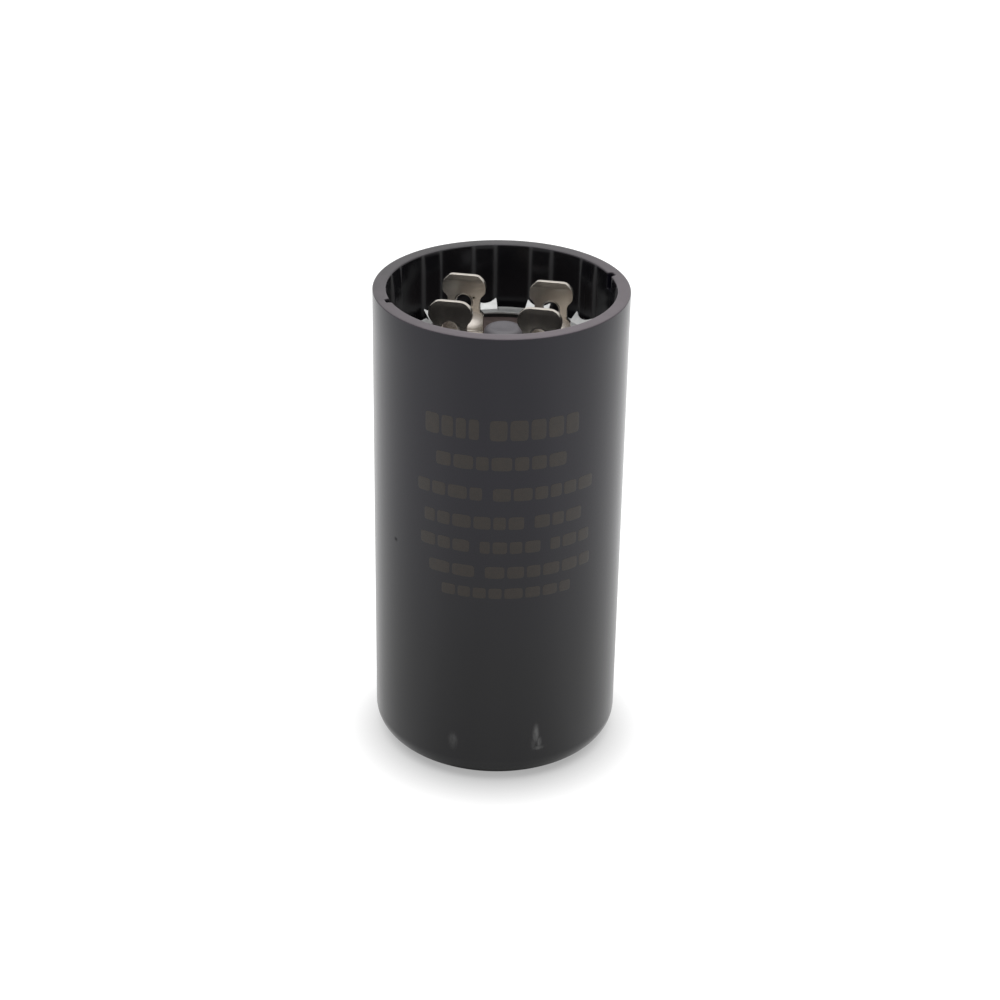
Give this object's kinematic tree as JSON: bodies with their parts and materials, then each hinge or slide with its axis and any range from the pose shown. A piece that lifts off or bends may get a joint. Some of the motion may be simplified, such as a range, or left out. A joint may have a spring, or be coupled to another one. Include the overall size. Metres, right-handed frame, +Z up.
{
  "type": "motor start capacitor",
  "caption": "Round motor start capacitor: a black moulded cup with push-on tab terminals in an open ribbed well, closed by a sealed header with a vent plug.",
  "frame": {"origin": "middle of the foot, on the surface that it stands on", "axes": "+Z up along the case's axis, X through the two terminals"},
  "size_m": [0.0364, 0.0364, 0.0714],
  "materials": {
    "case_plastic": "satin black moulded plastic",
    "header_phenolic": "dark brown phenolic laminate",
    "seal_rubber": "black rubber",
    "ring_steel": "bright plated sheet",
    "plug_rubber": "grey rubber",
    "terminal_tin": "tin-plated brass",
    "rivet_aluminium": "plain aluminium",
    "washer_steel": "plain steel",
    "lead_foil": "bright foil",
    "winding_paper": "impregnated paper with foil edges",
    "tape_paper": "pale adhesive tape",
    "pad_fibre": "pressed fibre board"
  },
  "bodies": {
    "root": {"case": "case_plastic", "header": "header_phenolic", "header_seal": "seal_rubber", "lock_ring": "ring_steel", "vent_plug": "plug_rubber", "terminal_left": "terminal_tin", "terminal_right": "terminal_tin", "rivet_left": "rivet_aluminium", "rivet_right": "rivet_aluminium", "rivet_washer_left": "washer_steel", "rivet_washer_right": "washer_steel", "lead_strip_left": "lead_foil", "lead_strip_right": "lead_foil", "winding": "winding_paper", "winding_tape": "tape_paper", "base_pad": "pad_fibre"}
  },
  "joints": []
}
